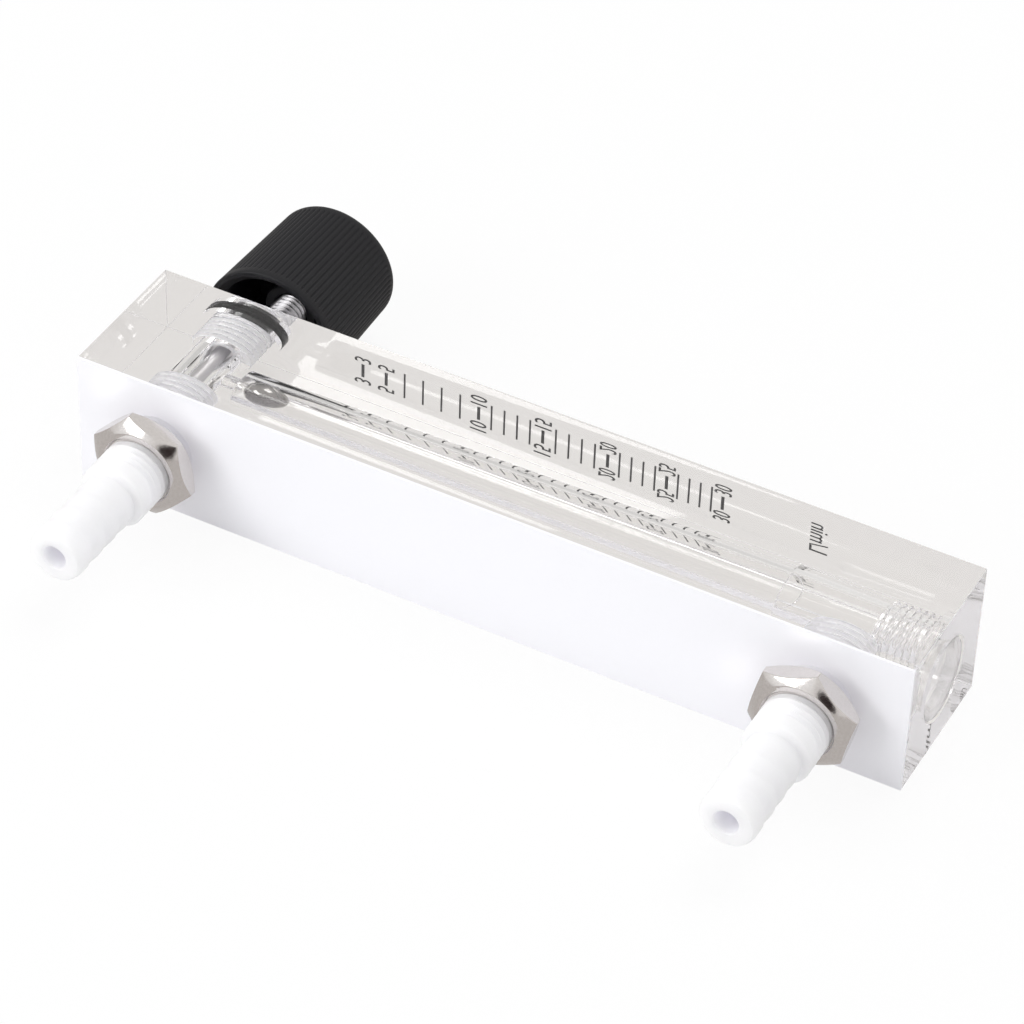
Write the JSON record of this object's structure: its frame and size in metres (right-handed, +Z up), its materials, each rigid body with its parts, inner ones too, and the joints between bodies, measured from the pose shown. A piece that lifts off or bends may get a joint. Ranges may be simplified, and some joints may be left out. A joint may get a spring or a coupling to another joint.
{
  "type": "rotameter",
  "caption": "Small clear acrylic block rotameter with a steel ball float, a needle valve with a black ribbed knob, and white rear hose fittings with hexagon lock nuts.",
  "frame": {"origin": "centre of the overall box in plan, at the level of the table that the block lies on", "axes": "+X along the block from the inlet end to the outlet end, +Y from the back with the hose fittings to the front with the scale and the knob, +Z up from the table"},
  "size_m": [0.126, 0.0756, 0.021],
  "materials": {
    "clear_acrylic": "clear, polished",
    "white_sheet": "satin white film",
    "white_nylon": "satin, slightly translucent moulding",
    "nickel_plate": "bright nickel plate",
    "polished_steel": "mirror polished ball",
    "milky_plastic": "translucent turned plastic",
    "black_rubber": "smooth nitrile",
    "stem_steel": "turned steel",
    "black_plastic": "matte moulding with fine ribs"
  },
  "bodies": {
    "root": {"acrylic_block": "clear_acrylic", "white_backing": "white_sheet", "inlet_fitting": "white_nylon", "outlet_fitting": "white_nylon", "inlet_nut": "nickel_plate", "outlet_nut": "nickel_plate", "end_plug": "clear_acrylic", "valve_bushing": "milky_plastic", "bushing_o_ring": "black_rubber"},
    "float": {"float_ball": "polished_steel"},
    "stem_seal": {"stem_o_ring": "black_rubber"},
    "valve": {"valve_stem": "stem_steel", "control_knob": "black_plastic"}
  },
  "joints": [
    {"name": "float_rise", "type": "slide", "parent": "root", "child": "float", "axis": [1, 0, 0], "range_m": [0, 0.0923]},
    {"name": "valve_travel", "type": "slide", "parent": "root", "child": "stem_seal", "axis": [0, 1, 0], "range_m": [-0.00161, 0.00241]},
    {"name": "valve_turn", "type": "hinge", "parent": "stem_seal", "child": "valve", "pos_m": [-0.05, 0.018, 0.0105], "axis": [0, 1, 0], "range_deg": [-720, 1080]}
  ],
  "couplings": [
    {"joint": "valve_travel", "follows": "valve_turn", "m_per_rad": 0.00012732}
  ]
}
